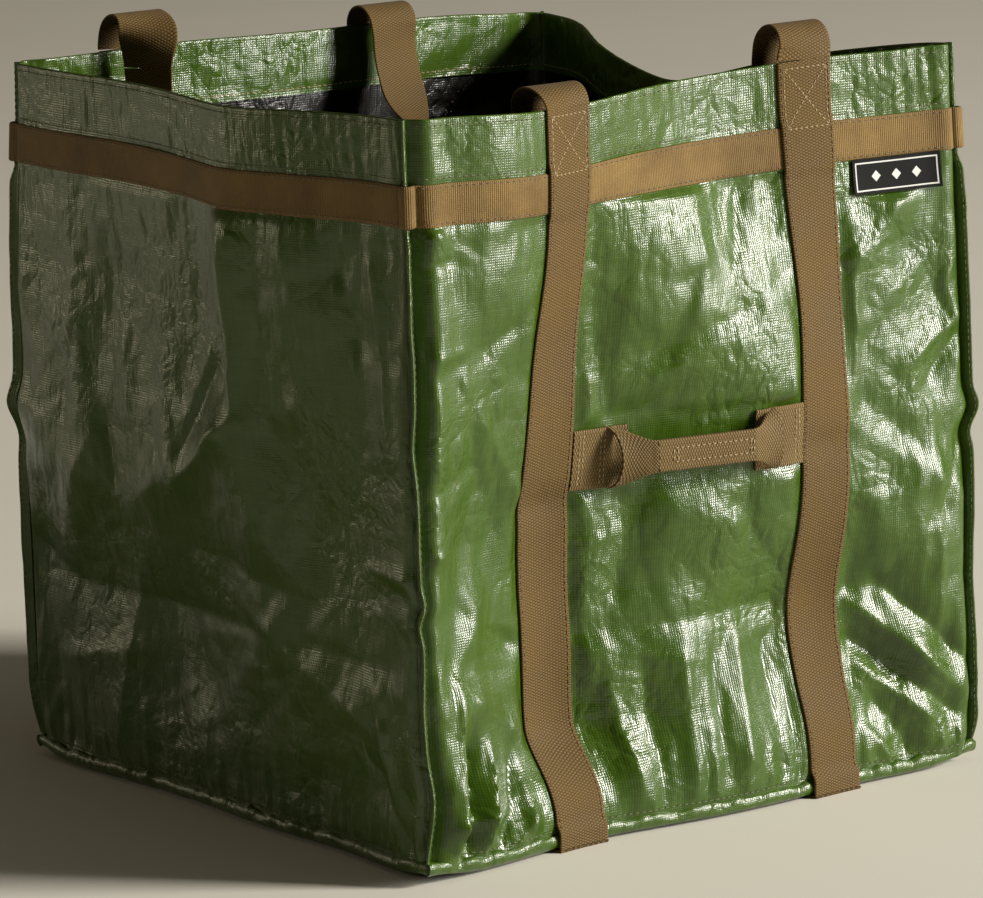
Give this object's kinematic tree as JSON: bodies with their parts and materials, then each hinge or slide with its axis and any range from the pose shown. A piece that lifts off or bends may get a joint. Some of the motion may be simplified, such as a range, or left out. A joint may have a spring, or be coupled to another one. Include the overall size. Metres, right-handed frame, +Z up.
{
  "type": "rope storage bag",
  "caption": "Open-topped cube bag of coated woven tarpaulin with webbing straps, hanging carrying loops, grab handles, a webbing band under the rim and a plain label.",
  "frame": {"origin": "on the ground, under the middle of the bag's outer box", "axes": "+Z up out of the mouth, -Y out of the front wall that carries the label, +X to the right seen from the front"},
  "size_m": [0.4574, 0.4586, 0.4787],
  "materials": {
    "tarpaulin": "glossy laminated weave",
    "hem": "glossy laminated weave",
    "seam": "glossy laminated weave",
    "webbing": "matt woven webbing",
    "band": "matt ribbed webbing",
    "label": "matt woven label"
  },
  "bodies": {
    "bag": {"back_base_seam": "seam", "back_left_bend": "webbing", "back_left_corner_seam": "seam", "back_left_grab_flare": "webbing", "back_left_grab_tab": "webbing", "back_left_strap": "webbing", "back_panel": "tarpaulin", "back_right_bend": "webbing", "back_right_corner_seam": "seam", "back_right_grab_flare": "webbing", "back_right_grab_tab": "webbing", "back_right_strap": "webbing", "back_rim_hem": "hem", "base_panel": "tarpaulin", "front_base_seam": "seam", "front_left_bend": "webbing", "front_left_corner_seam": "seam", "front_left_grab_flare": "webbing", "front_left_grab_tab": "webbing", "front_left_strap": "webbing", "front_panel": "tarpaulin", "front_right_bend": "webbing", "front_right_corner_seam": "seam", "front_right_grab_flare": "webbing", "front_right_grab_tab": "webbing", "front_right_strap": "webbing", "front_rim_hem": "hem", "left_base_seam": "seam", "left_base_strap": "webbing", "left_panel": "tarpaulin", "left_rim_hem": "hem", "right_base_seam": "seam", "right_base_strap": "webbing", "right_panel": "tarpaulin", "right_rim_hem": "hem", "rim_band": "band"},
    "front_handle": {"front_handle": "webbing"},
    "back_handle": {"back_handle": "webbing"},
    "front_grab_handle": {"front_grab_handle": "webbing"},
    "back_grab_handle": {"back_grab_handle": "webbing"},
    "label": {"label": "label"}
  },
  "joints": [
    {"name": "front_handle_swing", "type": "hinge", "parent": "bag", "child": "front_handle", "pos_m": [0, -0.19828, 0.464], "axis": [1, 0, 0], "range_deg": [0, 175], "deforming": ["front_left_bend", "front_right_bend"]},
    {"name": "back_handle_swing", "type": "hinge", "parent": "bag", "child": "back_handle", "pos_m": [0, 0.20178, 0.464], "axis": [-1, 0, 0], "range_deg": [0, 175], "deforming": ["back_left_bend", "back_right_bend"]},
    {"name": "front_grab_swing", "type": "hinge", "parent": "bag", "child": "front_grab_handle", "pos_m": [0, -0.21151, 0.232], "axis": [0.9788, -0.2049, 0], "range_deg": [-45, 45], "deforming": ["front_left_grab_flare", "front_right_grab_flare"]},
    {"name": "back_grab_swing", "type": "hinge", "parent": "bag", "child": "back_grab_handle", "pos_m": [-0.0265, 0.20649, 0.232], "axis": [-0.9963, -0.0864, 0], "range_deg": [-45, 45], "deforming": ["back_left_grab_flare", "back_right_grab_flare"]},
    {"name": "label_flap", "type": "hinge", "parent": "bag", "child": "label", "pos_m": [0.1625, -0.21552, 0.3921], "axis": [-0.9917, 0.1283, 0], "range_deg": [0, 80]}
  ]
}
